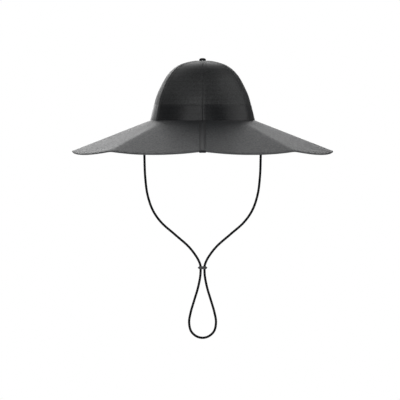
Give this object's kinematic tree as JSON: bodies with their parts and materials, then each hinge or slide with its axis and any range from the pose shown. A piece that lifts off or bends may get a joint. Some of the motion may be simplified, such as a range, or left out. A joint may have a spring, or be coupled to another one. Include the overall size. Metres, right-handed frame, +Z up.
{
  "type": "solar panel hat",
  "caption": "Wide-brimmed sun hat: domed crown faced with dark flexible solar film, a drooping creased cloth brim, and a chin cord gathered by a small slider.",
  "frame": {"origin": "middle of the head opening, level with the foot of the crown, where the hat sits on a head", "axes": "+Z up through the crown's button, the front faces -Y, +X to the right as the front view shows it"},
  "size_m": [0.449, 0.4676, 0.4831],
  "materials": {
    "crown": "cloth faced with dark flexible solar film, finely ruled, satin",
    "band": "smooth coated cloth, satin",
    "button": "cloth-covered button, matt",
    "brim": "stiffened plain-weave cloth, matt",
    "trim": "woven binding tape, matt",
    "anchor": "folded webbing tab, matt",
    "cord": "braided round cord, matt",
    "slider": "moulded, satin"
  },
  "bodies": {
    "root": {"crown_panel_front_right": "crown", "crown_panel_side_right": "crown", "crown_panel_back_right": "crown", "crown_panel_back_left": "crown", "crown_panel_side_left": "crown", "crown_panel_front_left": "crown", "crown_band": "band", "crown_button": "button", "brim_right": "brim", "brim_left": "brim", "brim_edge_right": "trim", "brim_edge_left": "trim", "brim_front_tape": "trim", "brim_back_tape": "trim", "cord_anchor_right": "anchor", "cord_anchor_left": "anchor", "chin_cord": "cord", "cord_slider": "slider"}
  },
  "joints": []
}
